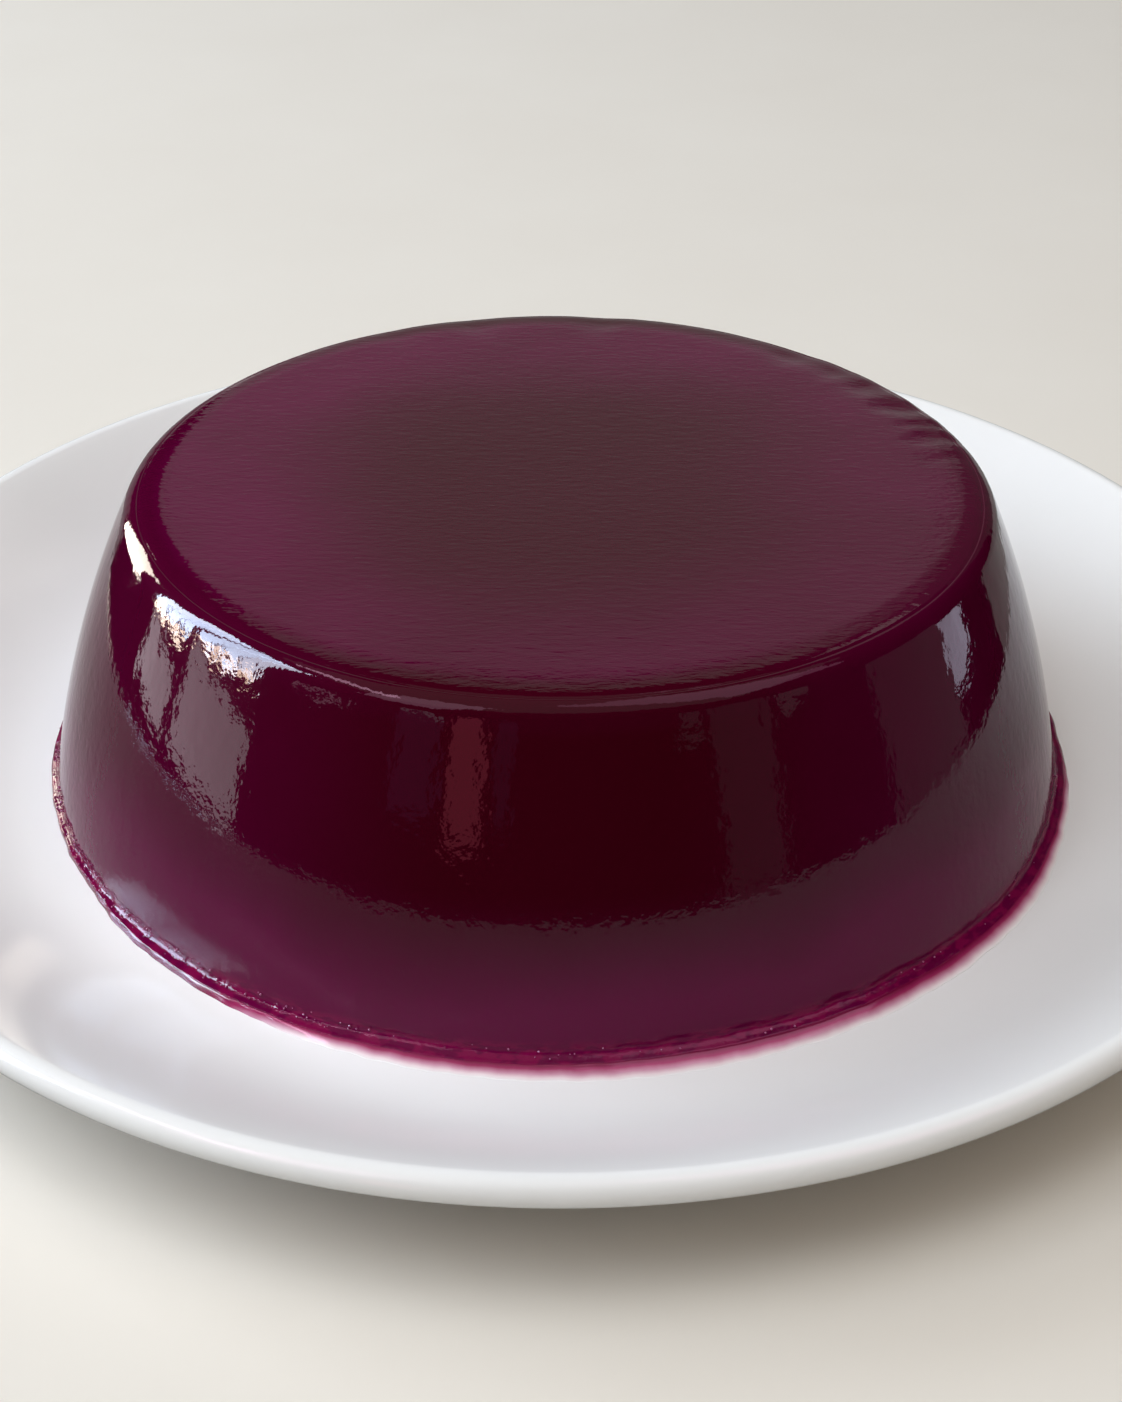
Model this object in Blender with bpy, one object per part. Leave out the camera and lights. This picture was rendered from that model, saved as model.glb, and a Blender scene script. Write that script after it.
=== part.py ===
"""A moulded jelly, turned out onto a white coupe plate. Metres, +Z up, the plate's foot ring on z = 0."""

import math

import bmesh
import bpy
from mathutils import Vector

MM = 0.001

# Plate: a coupe shape, one turned wall of even thickness that ends in a half-round rim. The handles are
# how far the rise from the well into the rim is drawn out at either end.
RIM_CENTRE_RADIUS = 132.5 * MM
WALL_THICKNESS = 5.0 * MM
RIM_SLOPE = math.radians(27.5)
WELL_HEIGHT = 8.5 * MM
WELL_RADIUS = 93.5 * MM
RIM_CENTRE_RISE = 14.3 * MM
WALL_HANDLE = 13.5 * MM
WELL_HANDLE_RADIUS = 107.0 * MM
FOOT_RING_RADIUS = 80.0 * MM
FOOT_RING_HALF_WIDTH = 1.6 * MM
FOOT_RING_FLARE = 1.2 * MM
FOOT_RING_BEVEL = 0.8 * MM
PLATE_SEGMENTS = 84
WELL_RINGS = (45.0 * MM, 75.0 * MM)
PORCELAIN = (0.86, 0.86, 0.85)
GLAZE_ROUGHNESS = 0.15

# Jelly: a shallow round mould's shape. Its flat top is bevelled down to a faint ring, then come a tight
# shoulder, a slightly barrelled side that flows out into a thin lip at the foot. It stands a little taller
# at the front. The reaches and flows are how far each curve is drawn out before it turns.
JELLY_HEIGHT = 53.4 * MM
RING_RADIUS = 72.2 * MM
RING_DROP = 0.55 * MM
BEVEL_WIDTH = 8.0 * MM
BEVEL_START_REACH = 1.6 * MM
BEVEL_END_REACH = 4.0 * MM
BEVEL_END_RISE = 0.34 * MM
SHOULDER_ROUNDING = 4.3 * MM
SHOULDER_START = math.radians(80.0)
SHOULDER_END = math.radians(26.0)
SIDE_FOOT_RADIUS = 90.5 * MM
SIDE_FOOT_HEIGHT = 2.6 * MM
SIDE_BULGE = 1.6 * MM
LIP_RADIUS = 0.45 * MM
LIP_REACH = 1.6 * MM
LIP_START = math.radians(55.0)
FLOW_DOWN = 1.3 * MM
FLOW_OUT = 1.2 * MM
FLOW_RISE = 0.25 * MM
TILT = 0.025
LEAN = 0.5 * MM
GAP = 0.3 * MM
JELLY_SEGMENTS = 90
TOP_RING = 32.0 * MM
BASE_RING = 60.0 * MM
GELATIN = (0.06, 0.002, 0.015)
SKIN_ROUGHNESS = 0.06

# Creases pressed into the shoulder as it set: where each lies round the jelly and how wide it is, in
# degrees, and how deep.
CREASES = (
    (6, 0.16 * MM, 3.8),
    (16, 0.3 * MM, 4.0),
    (28, 0.4 * MM, 4.0),
    (51, 0.22 * MM, 4.0),
    (84, 0.3 * MM, 4.0),
    (106, 0.28 * MM, 4.4),
)
CREASE_RING = 70.5 * MM
CREASE_REACH = 7.5 * MM

# Slow unevenness of a soft food that has settled: waves round the jelly.
SLUMP = 0.35 * MM
SLUMP_WAVES = ((2, 0.6), (3, 2.1), (5, 4.0))

SHARP_ANGLE = math.radians(40.0)
MERGE_DISTANCE = 0.01 * MM


def clear_scene():
    for obj in list(bpy.data.objects):
        bpy.data.objects.remove(obj, do_unlink=True)


def arc(centre, radius, start, end, steps):
    """Points on a circle in the (radius, height) plane, from one angle to the other."""
    angles = [start + (end - start) * i / steps for i in range(steps + 1)]
    return [(centre[0] + radius * math.cos(a), centre[1] + radius * math.sin(a)) for a in angles]


def bezier(ends, handles, steps):
    """Points on a cubic curve, without its first point."""
    points = []
    for i in range(1, steps + 1):
        t = i / steps
        weights = ((1 - t) ** 3, 3 * t * (1 - t) ** 2, 3 * t * t * (1 - t), t**3)
        corners = (ends[0], handles[0], handles[1], ends[1])
        points.append(tuple(sum(w * c[axis] for w, c in zip(weights, corners)) for axis in (0, 1)))
    return points


def plate_profile():
    """The plate's section from the middle of its well, over the rim, to the middle of its underside."""
    rim = (RIM_CENTRE_RADIUS, WELL_HEIGHT + RIM_CENTRE_RISE)
    half = WALL_THICKNESS / 2
    rim_start = math.pi / 2 + RIM_SLOPE
    rim_arc = arc(rim, half, rim_start, rim_start - math.pi, 8)
    along_wall = Vector((math.cos(RIM_SLOPE), math.sin(RIM_SLOPE)))
    upper_handle = Vector(rim_arc[0]) - along_wall * WALL_HANDLE
    lower_handle = Vector(rim_arc[-1]) - along_wall * WALL_HANDLE
    well_edge = (WELL_RADIUS, WELL_HEIGHT)
    under = WELL_HEIGHT - WALL_THICKNESS
    ring_outer = FOOT_RING_RADIUS + FOOT_RING_HALF_WIDTH
    ring_inner = FOOT_RING_RADIUS - FOOT_RING_HALF_WIDTH
    lower_edge = (WELL_RADIUS, under)
    points = [(0, WELL_HEIGHT)] + [(ring, WELL_HEIGHT) for ring in WELL_RINGS] + [well_edge]
    points += bezier((well_edge, rim_arc[0]), ((WELL_HANDLE_RADIUS, WELL_HEIGHT), upper_handle), 8)
    points += rim_arc[1:]
    points += bezier((rim_arc[-1], lower_edge), (lower_handle, (WELL_HANDLE_RADIUS, under)), 6)
    points += [(ring_outer + 2 * FOOT_RING_FLARE, under), (ring_outer + FOOT_RING_FLARE, 0.8 * under)]
    points += [(ring_outer, FOOT_RING_BEVEL), (ring_outer - 0.5 * FOOT_RING_BEVEL, 0)]
    points += [(ring_inner + 0.5 * FOOT_RING_BEVEL, 0), (ring_inner, FOOT_RING_BEVEL)]
    points += [(ring_inner - FOOT_RING_FLARE, under), (WELL_RINGS[0], under), (0, under)]
    return points


def jelly_profile():
    """The jelly's section from the middle of its top to the middle of its base, base at height 0."""
    bevel = (RING_RADIUS - BEVEL_WIDTH, JELLY_HEIGHT)
    ring = (RING_RADIUS, JELLY_HEIGHT - RING_DROP)
    centre = (
        ring[0] - SHOULDER_ROUNDING * math.cos(SHOULDER_START),
        ring[1] - SHOULDER_ROUNDING * math.sin(SHOULDER_START),
    )
    shoulder = arc(centre, SHOULDER_ROUNDING, SHOULDER_START, SHOULDER_END, 5)
    foot = (SIDE_FOOT_RADIUS, SIDE_FOOT_HEIGHT)
    lip_centre = (SIDE_FOOT_RADIUS + LIP_REACH, LIP_RADIUS)
    lip = arc(lip_centre, LIP_RADIUS, LIP_START, -math.pi / 2, 4)
    run = Vector(foot) - Vector(shoulder[-1])
    outward = Vector((-run.y, run.x)).normalized() * (SIDE_BULGE * 4 / 3)
    side_handles = [Vector(shoulder[-1]) + run * share + outward for share in (1 / 3, 2 / 3)]
    bevel_handles = (
        (bevel[0] + BEVEL_START_REACH, bevel[1]),
        (ring[0] - BEVEL_END_REACH, ring[1] + BEVEL_END_RISE),
    )
    foot_handles = ((foot[0], foot[1] - FLOW_DOWN), (lip[0][0] - FLOW_OUT, lip[0][1] + FLOW_RISE))
    points = [(0, JELLY_HEIGHT), (TOP_RING, JELLY_HEIGHT), bevel]
    points += bezier((bevel, ring), bevel_handles, 4)
    points += shoulder[1:]
    points += bezier((shoulder[-1], foot), side_handles, 9)
    points += bezier((foot, lip[0]), foot_handles, 3)
    points += lip[1:]
    points += [(BASE_RING, 0), (0, 0)]
    return points


def turned(name, profile, segments, height=0.0):
    """A closed body of revolution round Z from a section that starts and ends on the axis."""
    mesh = bpy.data.meshes.new(name)
    shape = bmesh.new()
    ring = [shape.verts.new((r, 0, z + height)) for r, z in profile]
    edges = [shape.edges.new(pair) for pair in zip(ring, ring[1:])]
    bmesh.ops.spin(
        shape,
        geom=ring + edges,
        cent=(0, 0, 0),
        axis=(0, 0, 1),
        angle=math.tau,
        steps=segments,
        use_merge=True,
    )
    bmesh.ops.remove_doubles(shape, verts=shape.verts, dist=MERGE_DISTANCE)
    bmesh.ops.recalc_face_normals(shape, faces=shape.faces)
    shape.to_mesh(mesh)
    shape.free()
    mesh.shade_smooth()
    mesh.set_sharp_from_angle(angle=SHARP_ANGLE)
    obj = bpy.data.objects.new(name, mesh)
    bpy.context.scene.collection.objects.link(obj)
    return obj


def crease_drop(radius, bearing):
    """How far the creases lower the shoulder at one place."""
    across = abs(radius - CREASE_RING) / CREASE_REACH
    if across >= 1:
        return 0.0
    drop = 0.0
    for degrees, depth, width in CREASES:
        away = math.remainder(bearing - math.radians(degrees), math.tau) / math.radians(width)
        drop += depth * math.exp(-away * away)
    return drop * (1 - across * across) ** 2


def settle(obj):
    """Makes the turned jelly uneven: a slight tilt, slow waves round its sides, creases in its shoulder."""
    base = WELL_HEIGHT + GAP
    for vertex in obj.data.vertices:
        radius = math.hypot(vertex.co.x, vertex.co.y)
        if radius < MM:
            continue
        bearing = math.atan2(vertex.co.y, vertex.co.x)
        rise = (vertex.co.z - base) / JELLY_HEIGHT
        wave = sum(math.sin(count * bearing + phase) for count, phase in SLUMP_WAVES)
        shift = SLUMP * wave / len(SLUMP_WAVES) * radius / SIDE_FOOT_RADIUS
        if rise > 0.5:
            vertex.co.z -= crease_drop(radius, bearing)
        vertex.co.z -= TILT * vertex.co.y * rise
        vertex.co.x += shift * math.cos(bearing) + LEAN * rise
        vertex.co.y += shift * math.sin(bearing)


def finish(obj, name, colour, roughness):
    """Gives the object a Principled material of its own."""
    material = bpy.data.materials.new(name)
    material.use_nodes = True
    shader = material.node_tree.nodes["Principled BSDF"]
    shader.inputs["Base Color"].default_value = (*colour, 1)
    shader.inputs["Roughness"].default_value = roughness
    shader.inputs["Metallic"].default_value = 0.0
    obj.data.materials.append(material)


def main():
    clear_scene()
    plate = turned("plate", plate_profile(), PLATE_SEGMENTS)
    finish(plate, "white_glazed_porcelain", PORCELAIN, GLAZE_ROUGHNESS)
    jelly = turned("jelly", jelly_profile(), JELLY_SEGMENTS, WELL_HEIGHT + GAP)
    settle(jelly)
    finish(jelly, "dark_plum_fruit_jelly", GELATIN, SKIN_ROUGHNESS)


main()
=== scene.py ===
"""A moulded fruit jelly on a coupe plate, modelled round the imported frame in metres, +Z up, front at -Y."""

import math
import random

import bmesh
import bpy
from bpy.props import FloatProperty, FloatVectorProperty, IntProperty, PointerProperty
from bpy.types import Operator, Panel, PropertyGroup
from mathutils import Matrix, Vector, noise


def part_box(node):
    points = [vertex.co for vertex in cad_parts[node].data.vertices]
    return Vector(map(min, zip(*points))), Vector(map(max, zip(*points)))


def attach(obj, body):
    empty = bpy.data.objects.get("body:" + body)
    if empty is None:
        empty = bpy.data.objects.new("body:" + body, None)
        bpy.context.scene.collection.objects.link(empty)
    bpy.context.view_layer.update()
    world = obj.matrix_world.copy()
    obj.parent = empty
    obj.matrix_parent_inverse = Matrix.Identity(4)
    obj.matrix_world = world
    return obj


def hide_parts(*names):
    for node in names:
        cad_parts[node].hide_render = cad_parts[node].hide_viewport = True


bl_info = {
    "name": "Moulded jelly on a plate",
    "version": (1, 0, 0),
    "blender": (4, 5, 0),
    "location": "View3D > Sidebar > Jelly",
    "description": "Turns out a moulded fruit jelly onto a coupe plate, with its juice, bubbles and stage",
    "category": "Add Mesh",
}

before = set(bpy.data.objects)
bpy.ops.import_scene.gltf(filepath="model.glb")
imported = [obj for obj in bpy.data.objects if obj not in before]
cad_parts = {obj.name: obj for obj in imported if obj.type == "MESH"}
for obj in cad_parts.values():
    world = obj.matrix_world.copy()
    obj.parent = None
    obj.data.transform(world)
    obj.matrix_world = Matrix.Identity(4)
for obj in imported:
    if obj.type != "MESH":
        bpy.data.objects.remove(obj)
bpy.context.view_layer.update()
PLATE_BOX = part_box("plate")
JELLY_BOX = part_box("jelly")

MM = 0.001
MERGE_DISTANCE = 0.002 * MM
BASE = JELLY_BOX[0][2] / MM
PLATE_RADIUS = PLATE_BOX[1][0] / MM


def linear(hex_colour, alpha=1.0):
    """A sRGB hex colour as the linear values that a shader takes."""
    parts = [int(hex_colour[i : i + 2], 16) / 255 for i in (1, 3, 5)]
    return (*(c / 12.92 if c <= 0.04045 else ((c + 0.055) / 1.055) ** 2.4 for c in parts), alpha)


# ---------------------------------------------------------------- settings


class JellySettings(PropertyGroup):
    height: FloatProperty(
        name="Height",
        description="From the jelly's base to the middle of its top, in millimetres",
        default=53.4,
        min=10,
    )
    ring_radius: FloatProperty(
        name="Ring radius",
        description="Radius of the fine ring where the top meets the shoulder, in millimetres",
        default=72.2,
        min=10,
    )
    bevel: FloatProperty(
        name="Bevel",
        description="Width of the soft bevel between the flat top and the ring, in millimetres",
        default=8.0,
        min=1,
    )
    rounding: FloatProperty(
        name="Rounding", description="Radius of the shoulder's rounding, in millimetres", default=4.3, min=1
    )
    foot_radius: FloatProperty(
        name="Foot radius",
        description="Radius of the side just above the foot lip, in millimetres",
        default=90.5,
        min=10,
    )
    bulge: FloatProperty(
        name="Bulge",
        description="How far the side stands out from a straight cone at its middle, in millimetres",
        default=1.6,
    )
    tilt: FloatProperty(
        name="Tilt",
        description="Slope of the top, which stands a little higher at the front",
        default=0.025,
    )
    lean: FloatProperty(
        name="Lean", description="How far the top has slid to the right, in millimetres", default=0.5
    )
    segments: IntProperty(name="Segments", description="Steps round the jelly", default=400, min=32)
    flesh: FloatVectorProperty(
        name="Body colour",
        description="What the deep body of the jelly looks like",
        subtype="COLOR",
        default=(0.038, 0.0005, 0.005),
    )
    # Painted glow: the colour that stands in for light getting through the body.
    painted_glow: FloatVectorProperty(
        name="Glow colour",
        description="What the body looks like where more light gets through it",
        subtype="COLOR",
        default=(0.094, 0.0008, 0.033),
    )
    # Painted glow: the lip's lighter colour stands in for light through the thin lip.
    lip: FloatVectorProperty(
        name="Lip colour",
        description="What the thin lip at the foot looks like",
        subtype="COLOR",
        default=(0.16, 0.003, 0.046),
    )


class PlateSettings(PropertyGroup):
    well_height: FloatProperty(
        name="Well height",
        description="Height of the well's surface over the table, in millimetres",
        default=8.5,
    )
    well_radius: FloatProperty(
        name="Well radius",
        description="Radius of the flat part of the well, in millimetres",
        default=93.5,
    )
    thickness: FloatProperty(
        name="Thickness", description="Thickness of the wall, in millimetres", default=5.0
    )
    rim_rise: FloatProperty(
        name="Rim rise",
        description="How far the middle of the rim lies over the well, in millimetres",
        default=14.3,
    )
    segments: IntProperty(name="Segments", description="Steps round the plate", default=288, min=32)
    glaze: FloatVectorProperty(
        name="Glaze colour", description="The glaze's white", subtype="COLOR", default=linear("#EEF0F2")[:3]
    )


class JuiceSettings(PropertyGroup):
    width: FloatProperty(
        name="Film width",
        description="How far the juice spreads past the jelly where it spreads most, in millimetres",
        default=2.5,
    )
    bubbles: IntProperty(name="Bubbles", description="Bubbles caught along the foot", default=150, min=0)
    seed: IntProperty(name="Seed", description="Changes where the bubbles lie", default=11)


# ---------------------------------------------------------------- modelling helpers


def arc(centre, radius, start, end, steps):
    """Points on a circle in the (radius, height) plane, from one angle in degrees to the other."""
    angles = [math.radians(start + (end - start) * i / steps) for i in range(steps + 1)]
    return [(centre[0] + radius * math.cos(a), centre[1] + radius * math.sin(a)) for a in angles]


def bezier(ends, handles, steps):
    """Points on a cubic curve, without its first point."""
    points = []
    for i in range(1, steps + 1):
        t = i / steps
        weights = ((1 - t) ** 3, 3 * t * (1 - t) ** 2, 3 * t * t * (1 - t), t**3)
        corners = (ends[0], handles[0], handles[1], ends[1])
        points.append(tuple(sum(w * c[axis] for w, c in zip(weights, corners)) for axis in (0, 1)))
    return points


def line(start, end, steps):
    """Even points from start to end, without the first."""
    return [tuple(a + (b - a) * i / steps for a, b in zip(start, end)) for i in range(1, steps + 1)]


def smooth(low, high, value):
    """0 at low and before it, 1 at high and past it, and an even ease between. Low may be the greater."""
    t = min(max((value - low) / (high - low), 0.0), 1.0)
    return t * t * (3 - 2 * t)


def turned(section, segments):
    """A bmesh turned round Z from a section in millimetres. A section that starts on the axis ends there
    too, and any other closes on itself."""
    shape = bmesh.new()
    closed = section[0][0] > 0
    ring = [shape.verts.new((r * MM, 0, z * MM)) for r, z in section]
    edges = [shape.edges.new(pair) for pair in zip(ring, ring[1:])]
    if closed:
        edges.append(shape.edges.new((ring[-1], ring[0])))
    bmesh.ops.spin(
        shape,
        geom=ring + edges,
        cent=(0, 0, 0),
        axis=(0, 0, 1),
        angle=math.tau,
        steps=segments,
        use_merge=True,
    )
    bmesh.ops.remove_doubles(shape, verts=shape.verts, dist=MERGE_DISTANCE)
    bmesh.ops.recalc_face_normals(shape, faces=shape.faces)
    shape.normal_update()
    return shape


def to_object(shape, name, *materials):
    """Writes the bmesh to a new smooth-shaded object with these materials."""
    mesh = bpy.data.meshes.new(name)
    shape.to_mesh(mesh)
    shape.free()
    mesh.shade_smooth()
    obj = bpy.data.objects.new(name, mesh)
    bpy.context.scene.collection.objects.link(obj)
    for material in materials:
        mesh.materials.append(material)
    return obj


def hill(place, size, seed):
    """Smooth noise from about -1 to 1 at a place in millimetres, with bumps of this size. Each seed takes it
    from another part of the noise."""
    return noise.noise(Vector(place) / size + Vector((seed, seed * 0.37, -seed)))


def outward_at(bearing):
    """The level direction at this bearing, counted from the right and turning to the back."""
    return Vector((math.cos(bearing), math.sin(bearing), 0))


def degrees_from(bearing, degrees):
    """How far a bearing lies from one given in degrees, in degrees either way."""
    return math.degrees(math.remainder(bearing - math.radians(degrees), math.tau))


# ---------------------------------------------------------------- material helpers


def new_material(name):
    material = bpy.data.materials.new(name)
    material.use_nodes = True
    return material, material.node_tree, material.node_tree.nodes["Principled BSDF"]


def add(tree, kind, settings=None, **links):
    """Adds a node, gives it its settings, and links or sets its inputs by name, or by number as i0."""
    node = tree.nodes.new(kind)
    for key, value in (settings or {}).items():
        setattr(node, key, value)
    for key, value in links.items():
        name = key.replace("_", " ")
        index = int(name[1:]) if name[0] == "i" and name[1:].isdigit() else name
        socket = node.inputs[index]
        if isinstance(value, bpy.types.NodeSocket):
            tree.links.new(value, socket)
        else:
            socket.default_value = value
    return node


# ---------------------------------------------------------------- materials


def gelatin_material(settings):
    """Fruit gelatin set in a smooth mould. Its wet skin mirrors the room, with fine dents that make the edges
    of what it mirrors ragged, and faint streaks on top. It is so deep in colour that the body looks nearly
    black. A more magenta glow is painted into its colour where light would get through it: low down, at the
    sides, and across the top, more towards its edge and the back and less at the right. The lip at the foot
    is painted lighter still, in patches, as painted glow through the thin lip."""
    material, tree, shader = new_material("dark_plum_fruit_gelatin")
    place = add(tree, "ShaderNodeTexCoord").outputs["Object"]
    split = add(tree, "ShaderNodeSeparateXYZ", i0=place)
    level = add(tree, "ShaderNodeCombineXYZ", X=split.outputs["X"], Y=split.outputs["Y"], Z=0.0)
    radius = add(
        tree, "ShaderNodeVectorMath", {"operation": "LENGTH"}, i0=level.outputs[0]
    ).outputs["Value"]

    def ease(value, low, high, start=0.0, end=1.0):
        """Goes smoothly from start to end while a length goes from low to high millimetres."""
        return add(
            tree,
            "ShaderNodeMapRange",
            {"interpolation_type": "SMOOTHSTEP"},
            Value=value,
            From_Min=low * MM,
            From_Max=high * MM,
            To_Min=start,
            To_Max=end,
        ).outputs["Result"]

    def maths(operation, first, second):
        return add(tree, "ShaderNodeMath", {"operation": operation}, i0=first, i1=second).outputs[0]

    def stretched(across, along, up):
        """The place, counted in bumps of these sizes in millimetres."""
        scale = (1 / (across * MM), 1 / (along * MM), 1 / (up * MM))
        return add(tree, "ShaderNodeMapping", Vector=place, Scale=scale).outputs["Vector"]

    # Painted glow: how much of the glow colour shows, standing in for light that gets through the body.
    low_band = ease(split.outputs["Z"], BASE + 4, BASE + 28, 1.0, 0.0)
    out_from_middle = add(
        tree, "ShaderNodeMath", {"operation": "ABSOLUTE"}, i0=split.outputs["X"]
    ).outputs[0]
    sides = ease(out_from_middle, 15, 62, 0.0, 0.42)
    to_back = ease(split.outputs["Y"], 15, 62, 0.0, 0.3)
    to_right = ease(split.outputs["X"], 10, 60, 1.0, 0.45)
    top = BASE + settings.height
    on_top = ease(split.outputs["Z"], top - 4, top - 1.6)
    ring = maths("ADD", maths("MULTIPLY", ease(radius, 25, 66, 0.14, 0.6), to_right), to_back)
    ring = maths("MULTIPLY", ring, ease(radius, 66, 70.5, 1.0, 0.1))
    share = maths("ADD", maths("ADD", low_band, sides), maths("MULTIPLY", on_top, ring))
    mottle = add(
        tree, "ShaderNodeTexNoise", Vector=place, Scale=1 / (24 * MM), Detail=3.0, Roughness=0.5
    ).outputs["Fac"]
    uneven = add(
        tree, "ShaderNodeMapRange", Value=mottle, From_Min=0.3, From_Max=0.7, To_Min=0.8, To_Max=1.2
    ).outputs["Result"]
    share = maths("MULTIPLY", share, uneven)
    body = add(
        tree,
        "ShaderNodeMix",
        {"data_type": "RGBA"},
        i0=share,
        i6=(*settings.flesh, 1),
        i7=(*settings.painted_glow, 1),
    ).outputs[2]
    # The lip at the foot is painted lighter: painted glow of light through the thin lip, broken into random
    # patches.
    lip_glow_patches = add(
        tree, "ShaderNodeTexNoise", Vector=stretched(3.2, 3.2, 0.8), Scale=1.0, Detail=2.0, Roughness=0.6
    )
    lip_glow_patch = add(
        tree,
        "ShaderNodeMapRange",
        Value=lip_glow_patches.outputs["Fac"],
        From_Min=0.44,
        From_Max=0.56,
        To_Min=0.15,
        To_Max=1.0,
    ).outputs["Result"]
    lip = maths("MULTIPLY", ease(split.outputs["Z"], BASE + 1.2, BASE + 4.2, 1.0, 0.0), lip_glow_patch)
    colour = add(
        tree, "ShaderNodeMix", {"data_type": "RGBA"}, i0=lip, i6=body, i7=(*settings.lip, 1)
    ).outputs[2]
    tree.links.new(colour, shader.inputs["Base Color"])

    # The skin's relief: streaks on top, dents and hanging waves on the side, wrinkles at the foot.
    drawn = add(
        tree, "ShaderNodeTexNoise", Vector=stretched(3.4, 1.1, 2.6), Scale=1.0, Detail=2.0, Roughness=0.6
    )
    speckle = add(
        tree, "ShaderNodeTexNoise", Vector=place, Scale=1 / (1.6 * MM), Detail=2.0, Roughness=0.55
    )
    waves = add(
        tree, "ShaderNodeTexNoise", Vector=stretched(2.6, 2.6, 6), Scale=1.0, Detail=1.5, Roughness=0.5
    )
    crinkle = add(
        tree, "ShaderNodeTexNoise", Vector=stretched(1.5, 1.5, 0.7), Scale=1.0, Detail=2.0, Roughness=0.6
    )
    crown = maths("MULTIPLY", on_top, ease(radius, 70.6, 72.4, 1.0, 0.0))
    off_top = maths("SUBTRACT", 1.0, crown)
    near_foot = ease(split.outputs["Z"], BASE + 1.5, BASE + 5, 1.0, 0.0)
    pitted = maths("MULTIPLY", off_top, ease(split.outputs["Z"], BASE + 26, BASE + 42, 1.9, 1.0))
    # What stands out, and how high in millimetres.
    layers = (
        (maths("MULTIPLY", drawn.outputs["Fac"], crown), 0.13),
        (maths("MULTIPLY", speckle.outputs["Fac"], pitted), 0.028),
        (maths("MULTIPLY", waves.outputs["Fac"], off_top), 0.05),
        (maths("MULTIPLY", crinkle.outputs["Fac"], near_foot), 0.1),
    )
    height = 0.0
    for layer, size in layers:
        height = maths("ADD", maths("MULTIPLY", layer, size * MM), height)
    skin = add(tree, "ShaderNodeBump", Strength=1.0, Distance=1.0, Height=height)
    tree.links.new(skin.outputs["Normal"], shader.inputs["Normal"])
    shader.inputs["Roughness"].default_value = 0.05
    shader.inputs["IOR"].default_value = 1.36
    shader.inputs["Specular IOR Level"].default_value = 0.25
    return material


def porcelain_material(settings):
    """White porcelain with a clear fired glaze: a bright, cool white with slow waves in the glaze. The foot
    ring is wiped clean before firing, so it is bare, matt and warmer."""
    material, tree, shader = new_material("white_glazed_porcelain")
    place = add(tree, "ShaderNodeTexCoord").outputs["Object"]
    split = add(tree, "ShaderNodeSeparateXYZ", i0=place)
    bare = add(
        tree,
        "ShaderNodeMapRange",
        {"interpolation_type": "SMOOTHSTEP"},
        Value=split.outputs["Z"],
        From_Min=0.5 * MM,
        From_Max=0.9 * MM,
        To_Min=1.0,
        To_Max=0.0,
    ).outputs["Result"]
    cloud = add(
        tree, "ShaderNodeTexNoise", Vector=place, Scale=1 / (40 * MM), Detail=3.0, Roughness=0.5
    ).outputs["Fac"]
    tone = add(
        tree,
        "ShaderNodeMix",
        {"data_type": "RGBA"},
        i0=cloud,
        i6=(*settings.glaze, 1),
        i7=linear("#E8EAEC"),
    ).outputs[2]
    colour = add(
        tree, "ShaderNodeMix", {"data_type": "RGBA"}, i0=bare, i6=tone, i7=linear("#D9D2C6")
    ).outputs[2]
    tree.links.new(colour, shader.inputs["Base Color"])
    rough = add(tree, "ShaderNodeMapRange", Value=bare, To_Min=0.14, To_Max=0.8).outputs["Result"]
    tree.links.new(rough, shader.inputs["Roughness"])
    ripple = add(
        tree, "ShaderNodeTexNoise", Vector=place, Scale=1 / (14 * MM), Detail=1.0, Roughness=0.4
    ).outputs["Fac"]
    bump = add(tree, "ShaderNodeBump", Strength=1.0, Distance=0.05 * MM, Height=ripple)
    tree.links.new(bump.outputs["Normal"], shader.inputs["Normal"])
    shader.inputs["IOR"].default_value = 1.5
    shader.inputs["Specular IOR Level"].default_value = 0.25
    return material


def juice_material():
    """Juice that has wept from the foot: deep magenta against the jelly, thinning to pink on the glaze."""
    material, tree, shader = new_material("thin_plum_juice_on_glaze")
    place = add(tree, "ShaderNodeTexCoord").outputs["Object"]
    thinness = add(tree, "ShaderNodeAttribute", {"attribute_name": "thinness"}).outputs["Fac"]
    grain = add(
        tree, "ShaderNodeTexNoise", Vector=place, Scale=1 / (3 * MM), Detail=2.0, Roughness=0.5
    ).outputs["Fac"]
    drift = add(
        tree, "ShaderNodeMapRange", Value=grain, From_Min=0.3, From_Max=0.7, To_Min=-0.03, To_Max=0.03
    ).outputs["Result"]
    share = add(
        tree, "ShaderNodeMath", {"operation": "ADD", "use_clamp": True}, i0=thinness, i1=drift
    ).outputs[0]
    ramp = add(tree, "ShaderNodeValToRGB", Fac=share)
    stops = ramp.color_ramp.elements
    shades = ((0.0, "#6A0C36"), (0.25, "#922A58"), (0.5, "#C08AA2"), (0.76, "#E4D4DA"), (1.0, "#EEEFF1"))
    for i, (at, shade) in enumerate(shades):
        stop = stops[i] if i < 2 else stops.new(at)
        stop.position = at
        stop.color = linear(shade)
    tree.links.new(ramp.outputs["Color"], shader.inputs["Base Color"])
    shader.inputs["Roughness"].default_value = 0.1
    shader.inputs["IOR"].default_value = 1.38
    return material


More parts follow.
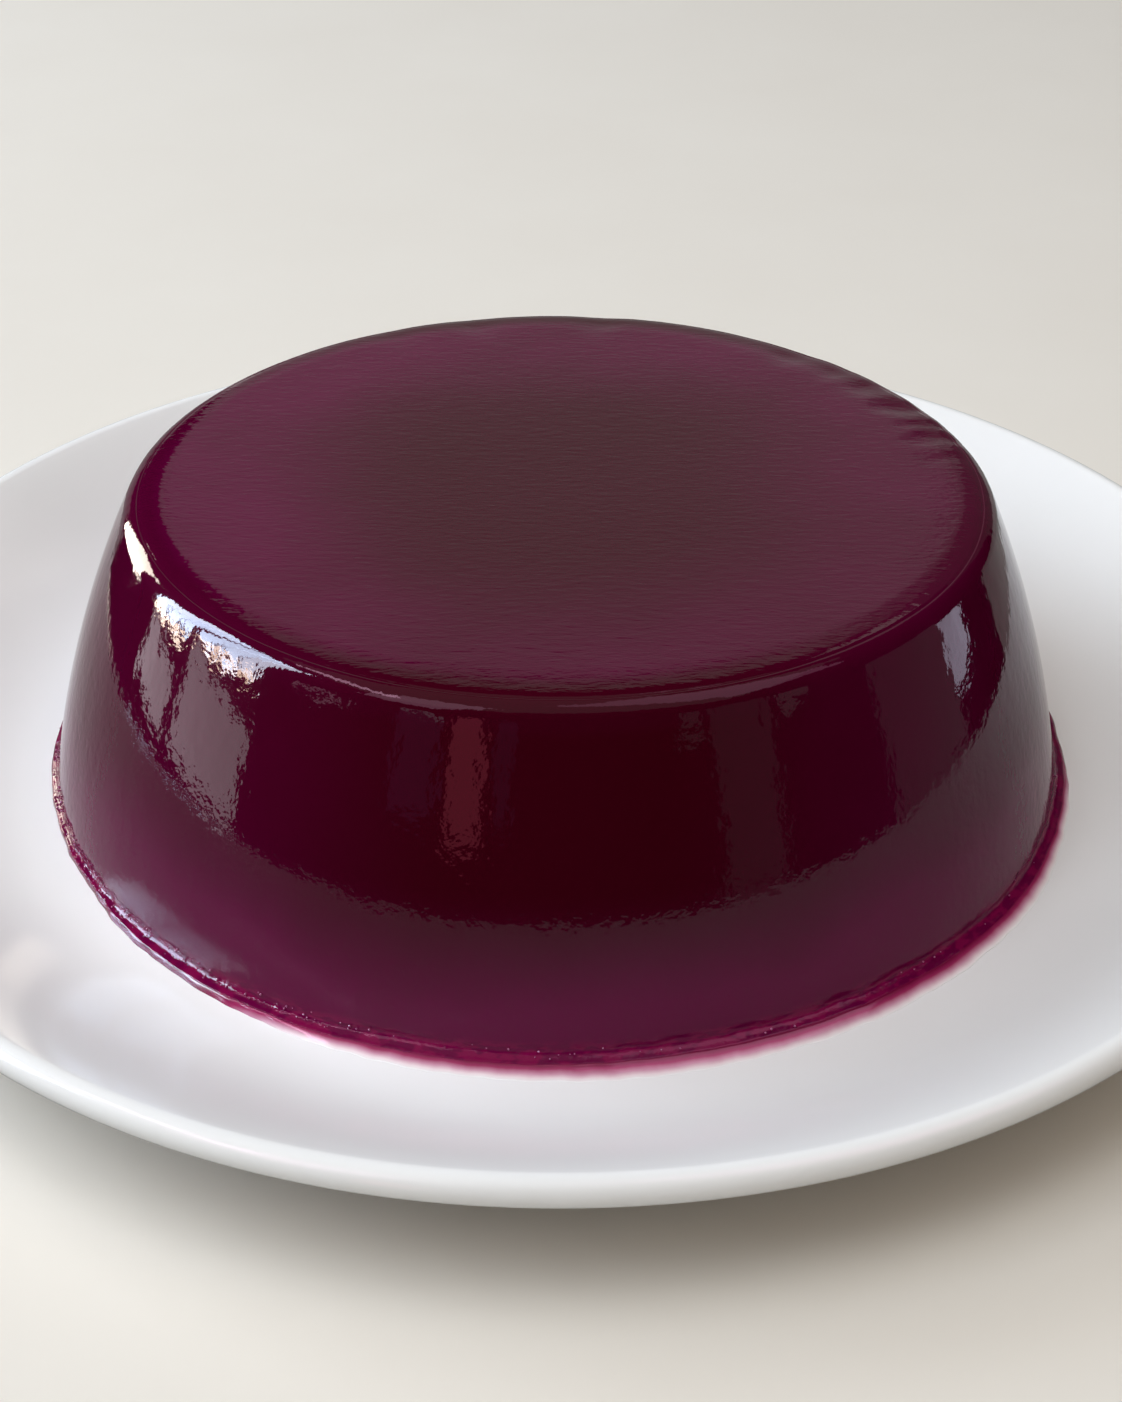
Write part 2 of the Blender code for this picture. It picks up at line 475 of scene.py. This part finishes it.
def bubble_material():
    """Tiny bubbles of air in juice, drawn as glossy beads that give bright points. Their pale pink, lighter
    than the jelly and varying at random, is painted light, standing in for the light that clear bubbles let
    through and catch.
    """
    material, tree, shader = new_material("juice_bubble_painted_light")
    place = add(tree, "ShaderNodeTexCoord").outputs["Object"]
    # Painted light: the beads are painted pale pink where clear bubbles would catch light.
    painted_bubble_light = add(tree, "ShaderNodeTexNoise", Vector=place, Scale=1 / (9 * MM), Detail=1.0).outputs["Fac"]
    colour = add(
        tree, "ShaderNodeMix", {"data_type": "RGBA"}, i0=painted_bubble_light, i6=linear("#7A1848"), i7=linear("#B878A0")
    ).outputs[2]
    tree.links.new(colour, shader.inputs["Base Color"])
    shader.inputs["Roughness"].default_value = 0.03
    shader.inputs["IOR"].default_value = 1.36
    return material


def floor_material():
    """Pale matt studio board with the faintest grain."""
    material, tree, shader = new_material("pale_matt_board")
    place = add(tree, "ShaderNodeTexCoord").outputs["Object"]
    grain = add(tree, "ShaderNodeTexNoise", Vector=place, Scale=1 / (60 * MM), Detail=4.0).outputs["Fac"]
    colour = add(
        tree, "ShaderNodeMix", {"data_type": "RGBA"}, i0=grain, i6=linear("#DFDBD4"), i7=linear("#E4E1DB")
    ).outputs[2]
    tree.links.new(colour, shader.inputs["Base Color"])
    shader.inputs["Roughness"].default_value = 1.0
    shader.inputs["Specular IOR Level"].default_value = 0.0
    return material


# ---------------------------------------------------------------- the pieces

# The parts of the jelly's section that aren't settings, in millimetres and degrees.
RING_DROP = 0.55
GROOVE = ((0.2, 0.12), (0.42, 0.15))
SHOULDER_START = 77.0
SHOULDER_END = 26.0
SIDE_END = 2.6
FLOW_DOWN = 1.3
FLOW_OUT = 1.2
FLOW_RISE = 0.25
LIP_REACH = 1.6
LIP_ROUNDING = 0.45
LIP_START = 55.0


def jelly_section(settings):
    """The jelly's section in millimetres, from the middle of its top to the middle of its base. Its top is
    flat as far as the ring, because settle() lowers the bevel."""
    top = BASE + settings.height
    ring = (settings.ring_radius, top - RING_DROP)
    foot = (settings.foot_radius, BASE + SIDE_END)
    start = math.radians(SHOULDER_START)
    centre = (ring[0] - settings.rounding * math.cos(start), ring[1] - settings.rounding * math.sin(start))
    shoulder = arc(centre, settings.rounding, SHOULDER_START, SHOULDER_END, 24)
    turn = shoulder[-1]
    run = Vector(foot) - Vector(turn)
    outward = Vector((-run.y, run.x)).normalized() * (settings.bulge * 4 / 3)
    handles = [Vector(turn) + run * share + outward for share in (1 / 3, 2 / 3)]
    lip = arc((settings.foot_radius + LIP_REACH, BASE + LIP_ROUNDING), LIP_ROUNDING, LIP_START, -90, 8)
    flow = ((foot[0], foot[1] - FLOW_DOWN), (lip[0][0] - FLOW_OUT, lip[0][1] + FLOW_RISE))
    flat_end = (ring[0] - settings.bevel - 2, top)
    section = [(0, top)] + line((0, top), flat_end, 22) + line(flat_end, (ring[0], top), 24)
    section += [(ring[0] + out, ring[1] - down) for out, down in GROOVE]
    section += shoulder[3:]
    section += bezier((turn, foot), handles, 52)
    section += bezier((foot, lip[0]), flow, 12)
    section += lip[1:] + line(lip[-1], (0, BASE), 8)
    return section


# How the set jelly differs from a turned one, in millimetres and degrees.
SLUMP = 0.35
SLUMP_WAVES = ((2, 0.6), (3, 2.1), (5, 4.0))
SAG_BEARING = 38.0
SAG_DROP = 0.45
SIDE_NARROWING = 0.55
BEVEL_WANDER = 0.5
BEVEL_DROP = 0.36
RING_CREASE_DROP = 0.19
RING_CREASE_WIDTH = 1.8
SHOULDER_RADIUS = 73.5
# Creases pressed into the shoulder: bearing, depth and half the width.
CREASES = (
    (7, 0.2, 2.2),
    (14, 0.42, 2.0),
    (19, 0.3, 1.7),
    (26, 0.55, 2.4),
    (34, 0.42, 2.2),
    (41, 0.3, 2.0),
    (50, 0.4, 2.8),
    (84, 0.4, 3.0),
    (104, 0.34, 3.6),
    (118, 0.18, 3.4),
)
CREASE_RADIUS = 68.8
CREASE_REACH = 8.5
CREASE_WANDER = 1.6
LIP_UNEVENNESS = 0.24
TUCK_BEARING = -172.0
TUCK_SHARE = 0.34
TUCK_START = 90.3
# The circle on which the foot's unevenness is read.
FOOT_AROUND = 90.0


def lip_wander(bearing):
    """How far the foot lip stands out of round at this bearing, in millimetres."""
    around = outward_at(bearing) * FOOT_AROUND
    return 0.32 * hill(around, 13.0, 9.3) + 0.22 * hill(around, 3.6, 2.2)


def tuck(radius, bearing):
    """How far the foot's edge is drawn in at the left, where the jelly stands steep on the plate."""
    steep = smooth(36, 24, abs(degrees_from(bearing, TUCK_BEARING)))
    return TUCK_SHARE * steep * max(radius - TUCK_START, 0)


def bevel_drop(settings, place, radius, bearing, sagging):
    """How far the bevel lies below the flat top. It is narrower at the sides, and ends in the ring."""
    narrowing = SIDE_NARROWING * abs(math.cos(bearing)) ** 1.5 * (1 - sagging)
    width = settings.bevel * (1 - narrowing) + BEVEL_WANDER * hill(place, 16.0, 2.9)
    past = (radius - settings.ring_radius) / width + 1
    if not 0 < past < 1.02:
        return 0.0
    eased = past * past * 2 if past < 0.25 else past - 0.125
    at_ring = max(1 - (settings.ring_radius - radius) / RING_CREASE_WIDTH, 0) ** 2
    return BEVEL_DROP * eased / 0.875 + RING_CREASE_DROP * at_ring


def crease_drop(place, radius, bearing):
    """How far the creases lower the shoulder."""
    bend = CREASE_WANDER * hill(place, 7.0, 6.1)
    aways = ((depth, degrees_from(bearing, degrees + bend) / width) for degrees, depth, width in CREASES)
    deep = sum(depth * math.exp(-away * away) for depth, away in aways)
    return deep * smooth(CREASE_REACH, 0, abs(radius - CREASE_RADIUS))


def skin_relief(place, normal, radius, rise, high):
    """How far the skin stands out: slow waves on the side and the top, finer ones in the shoulder."""
    side = smooth(0.3, 0.7, math.hypot(normal.x, normal.y)) * smooth(1.5, 5.0, rise)
    flat = smooth(0.9, 0.99, normal.z)
    shoulder = smooth(7, 1.5, abs(radius - SHOULDER_RADIUS)) * high
    relief = side * (
        0.04 * hill((place.x, place.y, place.z * 0.3), 9.0, 3.1) + 0.014 * hill(place, 4.2, 7.7)
    )
    relief += flat * 0.05 * hill(place, 24.0, 5.2)
    return relief + shoulder * (0.03 * hill(place, 6.0, 1.4) + 0.022 * hill(place, 2.6, 8.8))


def settle(shape, settings):
    """Shapes the turned body as the real one set: slow slump, creased shoulder, uneven foot."""
    for vertex in shape.verts:
        place = vertex.co / MM
        radius = math.hypot(place.x, place.y)
        if radius < 1:
            continue
        bearing = math.atan2(place.y, place.x)
        outward = outward_at(bearing)
        rise = place.z - BASE
        high = smooth(30, 42, rise)
        sagging = smooth(34, 12, abs(math.degrees(bearing) - SAG_BEARING))

        wave = sum(math.sin(count * bearing + phase) for count, phase in SLUMP_WAVES)
        shift = SLUMP * wave / len(SLUMP_WAVES) * radius / settings.foot_radius
        tip = Vector((settings.lean, 0, -settings.tilt * place.y)) * (rise / settings.height)

        drop = crease_drop(place, radius, bearing) * high
        drop += SAG_DROP * sagging * smooth(settings.ring_radius - 10, settings.ring_radius, radius) * high
        if rise > settings.height - 0.1:
            drop += bevel_drop(settings, place, radius, bearing, sagging)

        uneven = hill((place.x, place.y, place.z * 2), 2.2, 5.5) * smooth(0.3, 1.5, rise)
        at_foot = smooth(4.2, 1.6, rise) * smooth(80, 89, radius)
        spread = at_foot * (lip_wander(bearing) + LIP_UNEVENNESS * uneven) - tuck(radius, bearing)

        relief = skin_relief(place, vertex.normal, radius, rise, high)
        move = outward * (shift + spread) + tip + vertex.normal * relief - Vector((0, 0, drop))
        vertex.co += move * MM


class JELLY_OT_turn_out(Operator):
    """Turns the jelly out of its mould"""

    bl_idname = "jelly.turn_out"
    bl_label = "Turn out the jelly"

    def execute(self, context):
        settings = context.scene.jelly
        shape = turned(jelly_section(settings), settings.segments)
        settle(shape, settings)
        jelly = to_object(shape, "moulded_jelly", gelatin_material(settings))
        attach(jelly, "root")
        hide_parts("jelly")
        return {"FINISHED"}


# The parts of the plate's section that aren't settings, in millimetres and degrees. The handles draw out
# the rise from the well into the rim at either end.
RIM_SLOPE = 27.5
RIM_HANDLE = 13.5
WELL_HANDLE_RADIUS = 107.0
FOOT_RING_OUTER = 81.6
FOOT_RING_INNER = 78.4
FOOT_RING_BEVEL = 0.8
FOOT_FLARE_OUTER = 85.0
FOOT_FLARE_INNER = 75.5


def plate_section(settings):
    """The plate's section in millimetres, from the middle of its well over the rim to its underside."""
    half = settings.thickness / 2
    slope = math.radians(RIM_SLOPE)
    well = settings.well_height
    rim = (PLATE_RADIUS - half, well + settings.rim_rise)
    rim_arc = arc(rim, half, RIM_SLOPE + 90, RIM_SLOPE - 90, 24)
    along = Vector((math.cos(slope), math.sin(slope))) * RIM_HANDLE
    upper = Vector(rim_arc[0]) - along
    lower = Vector(rim_arc[-1]) - along
    under = well - settings.thickness
    edge = (settings.well_radius, well)
    low_edge = (settings.well_radius, under)
    section = [(0, well)] + line((0, well), edge, 24)
    section += bezier((edge, rim_arc[0]), ((WELL_HANDLE_RADIUS, well), upper), 30)
    section += rim_arc[1:]
    section += bezier((rim_arc[-1], low_edge), (lower, (WELL_HANDLE_RADIUS, under)), 24)

    outer, inner, bevel = FOOT_RING_OUTER, FOOT_RING_INNER, FOOT_RING_BEVEL
    flare = ((outer + 0.8, under), (outer + 0.3, under * 0.7))
    section += line(low_edge, (FOOT_FLARE_OUTER, under), 2)
    section += bezier(((FOOT_FLARE_OUTER, under), (outer, bevel + 0.1)), flare, 6)
    section += arc((outer - bevel, bevel), bevel, 0, -90, 4)
    section += arc((inner + bevel, bevel), bevel, -90, -180, 4)
    flare = ((inner - 0.2, under * 0.7), (inner - 0.8, under))
    section += bezier(((inner, bevel), (FOOT_FLARE_INNER, under)), flare, 6)
    section += line((FOOT_FLARE_INNER, under), (0, under), 12)
    return section


class JELLY_OT_set_plate(Operator):
    """Sets the plate under the jelly"""

    bl_idname = "jelly.set_plate"
    bl_label = "Set the plate"

    def execute(self, context):
        settings = context.scene.jelly_plate
        shape = turned(plate_section(settings), settings.segments)
        plate = to_object(shape, "coupe_plate", porcelain_material(settings))
        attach(plate, "root")
        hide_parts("plate")
        return {"FINISHED"}


# The juice film, in millimetres and degrees: it starts under the jelly, is deepest against the lip, and is
# turned out to a nominal width before each place gets its own.
FILM_INNER = 90.6
FILM_LIP = 92.4
FILM_NOMINAL = 100.0
FILM_ROWS = 28
FILM_SEGMENTS = 480
FILM_BEARING = -66.0
FILM_DEPTH = 1.05
FILM_INNER_DEPTH = 0.25
FILM_BEAD = 0.45
FILM_LIFT = 0.02
WELL_RISE = 0.012


def film_spread(bearing):
    """0 where the juice stands as a tight bead against the foot, 1 where it has run out thin."""
    away = abs(degrees_from(bearing, FILM_BEARING))
    uneven = 0.12 * hill(outward_at(bearing) * FOOT_AROUND, 22.0, 4.4)
    return min(max(smooth(72, 24, away) + uneven, 0.0), 1.0)


class JELLY_OT_weep_juice(Operator):
    """Lets thin juice weep from under the jelly"""

    bl_idname = "jelly.weep_juice"
    bl_label = "Weep the juice"

    def execute(self, context):
        settings = context.scene.jelly_juice
        plate = context.scene.jelly_plate
        well = plate.well_height
        above = well + 1
        section = [(FILM_INNER, above)] + line((FILM_INNER, above), (FILM_NOMINAL, above), FILM_ROWS)
        section += [(FILM_NOMINAL, well)] + line((FILM_NOMINAL, well), (FILM_INNER, well), FILM_ROWS)
        shape = turned(section, FILM_SEGMENTS)
        thinness = shape.verts.layers.float.new("thinness")
        for vertex in shape.verts:
            place = vertex.co / MM
            share = (math.hypot(place.x, place.y) - FILM_INNER) / (FILM_NOMINAL - FILM_INNER)
            bearing = math.atan2(place.y, place.x)
            outward = outward_at(bearing)
            spread = film_spread(bearing)
            reach = FILM_LIP + FILM_BEAD + settings.width * spread
            reach += (0.18 + 0.15 * spread) * hill(outward * FOOT_AROUND, 3.2, 1.7)
            radius = FILM_INNER + (reach - FILM_INNER) * share
            past = min(max((radius - FILM_LIP) / (reach - FILM_LIP), 0.0), 1.0)
            vertex[thinness] = past * smooth(0.05, 0.5, spread)
            lift = FILM_LIFT + WELL_RISE * max(radius - plate.well_radius, 0) ** 2
            if place.z > well + 0.5:
                lift += FILM_DEPTH * (1 - past ** (2 - spread)) ** (0.55 + 1.45 * spread)
                lift += FILM_INNER_DEPTH * smooth(FILM_LIP, FILM_INNER, radius) + FILM_LIFT
            radius += lip_wander(bearing) - tuck(radius, bearing)
            vertex.co = (outward * radius + Vector((0, 0, well + lift))) * MM
        film = to_object(shape, "juice_film", juice_material())
        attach(film, "root")
        return {"FINISHED"}


# Where bubbles lie: most of them at the front left, and the rest along the front.
BUBBLES_MIDDLE = -142
BUBBLES_SCATTER = 24
BUBBLES_THERE = 0.85
BUBBLES_FRONT = (-120, -10)
BUBBLE_SIZES = (0.09, 0.22)
BUBBLE_HEIGHTS = (1.0, 2.6)
FOOT_FACE = 92.3
FOOT_FACE_SLOPE = 0.6


class JELLY_OT_catch_bubbles(Operator):
    """Catches small bubbles along the foot"""

    bl_idname = "jelly.catch_bubbles"
    bl_label = "Catch the bubbles"

    def execute(self, context):
        settings = context.scene.jelly_juice
        rng = random.Random(settings.seed)
        shape = bmesh.new()
        for _ in range(settings.bubbles):
            crowded = rng.random() < BUBBLES_THERE
            degrees = rng.gauss(BUBBLES_MIDDLE, BUBBLES_SCATTER) if crowded else rng.uniform(*BUBBLES_FRONT)
            size = rng.uniform(*BUBBLE_SIZES)
            height = rng.uniform(*BUBBLE_HEIGHTS)
            radius = FOOT_FACE - FOOT_FACE_SLOPE * height + 0.1 * size
            place = outward_at(math.radians(degrees)) * radius + Vector((0, 0, BASE + height))
            spot = Matrix.Translation(place * MM)
            bmesh.ops.create_uvsphere(shape, u_segments=8, v_segments=5, radius=size * MM, matrix=spot)
        bubbles = to_object(shape, "foot_bubbles", bubble_material())
        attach(bubbles, "root")
        return {"FINISHED"}


# ---------------------------------------------------------------- the stage

# Sizes and places of the stage are in metres. The lights' bearings are in degrees, counted from the back
# over the right, and their elevations are seen from the jelly's middle.
JELLY_MIDDLE = 30 * MM
FLOOR_HALF = 3.0
BAR_DISTANCE = 1.5
BACK_WALL_AT = (-0.004, 0.36)
BACK_WALL_WIDTH = 0.278
BACK_WALL_HEIGHTS = (0.0, 0.12, 0.22, 0.32, 0.43)
BACK_WALL_RADIANCE = (0.36, 0.44, 0.53, 0.6)
CAMERA_AT = Vector((0.8, -369.3, 257.1)) * MM
CAMERA_LENS = 61.63
CAMERA_SENSOR = 36.0
CAMERA_PITCH = math.radians(33.18)
CAMERA_ROLL = math.radians(0.3)


def softbox(name, centre, size, radiance, colour, lights, upright=False, along=None):
    """A rectangular studio light that faces the jelly. One that lights only the gloss shapes what the wet
    skin mirrors, and one that lights only the matt gives the soft daylight. It is level, unless its width
    is laid along a slanted line, and an upright one doesn't lean towards the jelly."""
    light = bpy.data.lights.new(name, "AREA")
    light.shape = "RECTANGLE"
    light.size, light.size_y = size
    light.color = linear(colour)[:3]
    light.energy = radiance * math.pi * size[0] * size[1]
    lamp = bpy.data.objects.new(name, light)
    lamp.location = centre
    way = Vector(centre) - Vector((0, 0, JELLY_MIDDLE))
    if upright:
        way.z = 0
    turn = way.to_track_quat("Z", "Y").to_matrix()
    if along is not None:
        facing = way.normalized()
        side = (along - facing * along.dot(facing)).normalized()
        turn = Matrix((side, facing.cross(side), facing)).transposed()
    lamp.rotation_euler = turn.to_euler()
    lamp.visible_camera = False
    lamp.visible_diffuse = lights != "gloss"
    lamp.visible_glossy = lights != "matt"
    bpy.context.scene.collection.objects.link(lamp)


def aimed(bearing, elevation, distance):
    """The place at this bearing and elevation, seen from the jelly's middle."""
    turn, lift = math.radians(bearing), math.radians(elevation)
    flat = distance * math.cos(lift)
    return Vector((flat * math.sin(turn), flat * math.cos(turn), JELLY_MIDDLE + distance * math.sin(lift)))


def framed(bearings, elevations, distance):
    """Centre and size of a panel that fills these bearings and elevations."""
    bearing, elevation = sum(bearings) / 2, sum(elevations) / 2
    flat = distance * math.cos(math.radians(elevation))
    width = 2 * flat * math.tan(math.radians(bearings[1] - bearings[0]) / 2)
    height = 2 * distance * math.tan(math.radians(elevations[1] - elevations[0]) / 2)
    return aimed(bearing, elevation, distance), (width, height)


# Name, bearings and elevations it fills, distance, radiance, colour, and what it lights.
PANELS = (
    ("window_low", (270, 315), (8, 30), 1.8, 3.3, "#E2F0FF", "matt"),
    ("window_high", (270, 315), (30, 52), 1.8, 4.6, "#F4FAFF", "matt"),
    ("window_front", (225, 270), (30, 52), 1.8, 3.1, "#F8FCFF", "matt"),
    ("sky_front_left", (180, 270), (52, 86), 1.8, 3.05, "#F4F9FF", "matt"),
    ("sky_back_left", (270, 360), (52, 86), 1.8, 0.7, "#FFF0E0", "matt"),
    ("sky_front_right", (90, 180), (52, 86), 1.8, 1.5, "#FFF3E4", "matt"),
    ("room_front_right", (135, 180), (30, 52), 1.8, 1.05, "#FFDDB8", "matt"),
    ("pane_front_left", (267, 274), (2.2, 43), 1.6, 48, "#CCE0FF", "gloss"),
    ("pane_front_middle", (260.5, 267), (3.4, 43), 1.6, 48, "#D0E2FF", "gloss"),
    ("pane_front_right", (254.5, 260.5), (5.4, 43), 1.6, 40, "#DCE4FA", "gloss"),
    ("pane_back_left", (286.5, 292), (-3.2, 43), 1.6, 46, "#D8E8FF", "gloss"),
    ("pane_back_middle", (281.5, 286.5), (-1.8, 43), 1.6, 48, "#CCE0FF", "gloss"),
    ("pane_back_right", (276.8, 281.5), (-0.4, 43), 1.6, 48, "#CCE0FF", "gloss"),
    ("wall_below_front", (252.5, 273.5), (-9, 1), 1.6, 5.5, "#F2E6EE", "gloss"),
    ("wall_below_back", (276.8, 291), (-10, -4.5), 1.6, 5.0, "#F2E6EE", "gloss"),
    ("doorway", (303, 319), (-9, 24), 1.6, 24, "#FFF2E2", "gloss"),
    ("back_left_wall", (322, 346), (-20, 6), 1.6, 0.35, "#F6F4F2", "gloss"),
    ("right_window", (70, 79.5), (-8, 1), 1.6, 4.4, "#E8E6FF", "gloss"),
    ("right_wall", (79.5, 104), (-12, 8), 1.6, 0.4, "#F2E8F0", "gloss"),
    ("right_back_wall", (13, 56), (-20, 0), 1.6, 0.4, "#F6F4F0", "gloss"),
    ("back_right_glint", (26, 34), (40, 50), 1.6, 1.6, "#FFFAF6", "gloss"),
    ("cupboard", (131, 144), (-8, 17), 1.6, 0.4, "#F0E4EA", "gloss"),
    ("cupboard_edge", (147, 151), (11, 16), 1.6, 0.5, "#F4ECF0", "gloss"),
    ("shelf", (120, 128), (9, 13), 1.6, 0.8, "#F4ECF0", "gloss"),
    ("upright_a", (206.5, 216.5), (3, 14.6), 1.6, 0.5, "#D89CEC", "gloss"),
    ("upright_a_cap", (206.5, 217), (14.6, 15.5), 1.6, 2.4, "#F0ECFF", "gloss"),
    ("upright_b", (196, 203.5), (1, 16), 1.6, 3.2, "#FF7288", "gloss"),
    ("upright_c", (189, 193), (4, 16), 1.6, 0.35, "#D8A8F0", "gloss"),
)
# Slanted bars: name, bearing and elevation of both ends, width in degrees, radiance, colour.
BARS = (
    ("sill_front", (255.5, 5.0), (274, 1.7), 0.9, 38, "#FFDCC4"),
    ("sill_front_corner", (255, 6.0), (262, 4.8), 1.2, 32, "#FFDCC4"),
    ("sill_back", (276.8, -0.8), (291.5, -3.9), 0.8, 40, "#FFE4D0"),
    ("rail_high", (226, 45), (276, 55), 4, 15, "#FFC4E6"),
    ("rail_high_near", (206, 42), (232, 46), 28, 4.2, "#FFC4E6"),
    ("rail_low", (230, 11.8), (244, 10.2), 0.7, 4.5, "#FFD0E8"),
)
# Pieces of the room: name, centre, size, radiance, colour, and whether it stands upright.
ROOM = (
    ("back_wall_corner", (0.15, 0.36, 0.215), (0.03, 0.43), 0.3, "#FFFDFA", True),
    ("back_wall_right", (0.26, 0.36, 0.215), (0.19, 0.43), 0.12, "#FFFDFA", True),
    ("ceiling", (0, -0.35, 1.4), (2.3, 1.6), 0.65, "#FFF8F6", False),
    ("ceiling_lamp", (0.62, -0.25, 1.39), (0.8, 1.1), 2.8, "#FFB2DC", False),
)


class JELLY_OT_set_stage(Operator):
    """Lays the floor and sets the lights and the camera"""

    bl_idname = "jelly.set_stage"
    bl_label = "Set the stage"

    def execute(self, context):
        scene = context.scene
        shape = bmesh.new()
        bmesh.ops.create_grid(shape, x_segments=1, y_segments=1, size=FLOOR_HALF)
        floor = to_object(shape, "floor", floor_material())
        floor.visible_glossy = False
        for name, bearings, elevations, distance, radiance, colour, lights in PANELS:
            centre, size = framed(bearings, elevations, distance)
            softbox(name, centre, size, radiance, colour, lights)
        for name, start, end, width, radiance, colour in BARS:
            start, end = aimed(*start, BAR_DISTANCE), aimed(*end, BAR_DISTANCE)
            size = ((end - start).length, BAR_DISTANCE * math.radians(width))
            softbox(name, (start + end) / 2, size, radiance, colour, "gloss", along=end - start)
        for low, high, radiance in zip(BACK_WALL_HEIGHTS, BACK_WALL_HEIGHTS[1:], BACK_WALL_RADIANCE):
            centre, size = (*BACK_WALL_AT, (low + high) / 2), (BACK_WALL_WIDTH, high - low)
            softbox("back_wall", centre, size, radiance, "#FFFDFA", "gloss", upright=True)
        for name, centre, size, radiance, colour, stands in ROOM:
            softbox(name, centre, size, radiance, colour, "gloss", upright=stands)
        world = bpy.data.worlds.new("soft_room")
        scene.world = world
        world.use_nodes = True
        backdrop = world.node_tree.nodes["Background"]
        backdrop.inputs["Color"].default_value = linear("#FFF8F4")
        backdrop.inputs["Strength"].default_value = 0.02
        world.cycles_visibility.glossy = False
        scene.view_settings.view_transform = "Standard"
        camera = bpy.data.cameras.new("camera")
        camera.sensor_width = CAMERA_SENSOR
        camera.lens = CAMERA_LENS
        holder = bpy.data.objects.new("camera", camera)
        holder.location = CAMERA_AT
        tilt = Matrix.Rotation(math.pi / 2 - CAMERA_PITCH, 4, "X")
        roll = Matrix.Rotation(CAMERA_ROLL, 4, "Z")
        holder.rotation_euler = (tilt @ roll).to_euler()
        scene.collection.objects.link(holder)
        scene.camera = holder
        return {"FINISHED"}


class JELLY_PT_panel(Panel):
    """Lists the pieces in the sidebar"""

    bl_label = "Moulded jelly"
    bl_idname = "JELLY_PT_panel"
    bl_space_type = "VIEW_3D"
    bl_region_type = "UI"
    bl_category = "Jelly"

    def draw(self, context):
        for group in (context.scene.jelly, context.scene.jelly_plate, context.scene.jelly_juice):
            box = self.layout.box()
            for name in type(group).__annotations__:
                box.prop(group, name)
        for operator in OPERATORS:
            self.layout.operator(operator.bl_idname)


OPERATORS = (
    JELLY_OT_turn_out,
    JELLY_OT_set_plate,
    JELLY_OT_weep_juice,
    JELLY_OT_catch_bubbles,
    JELLY_OT_set_stage,
)
CLASSES = (JellySettings, PlateSettings, JuiceSettings, *OPERATORS, JELLY_PT_panel)


def register():
    for cls in CLASSES:
        bpy.utils.register_class(cls)
    bpy.types.Scene.jelly = PointerProperty(type=JellySettings)
    bpy.types.Scene.jelly_plate = PointerProperty(type=PlateSettings)
    bpy.types.Scene.jelly_juice = PointerProperty(type=JuiceSettings)


def unregister():
    del bpy.types.Scene.jelly_juice, bpy.types.Scene.jelly_plate, bpy.types.Scene.jelly
    for cls in reversed(CLASSES):
        bpy.utils.unregister_class(cls)


def main():
    register()
    bpy.ops.jelly.set_stage()
    bpy.ops.jelly.set_plate()
    bpy.ops.jelly.turn_out()
    bpy.ops.jelly.weep_juice()
    bpy.ops.jelly.catch_bubbles()


if __name__ == "__main__":
    main()
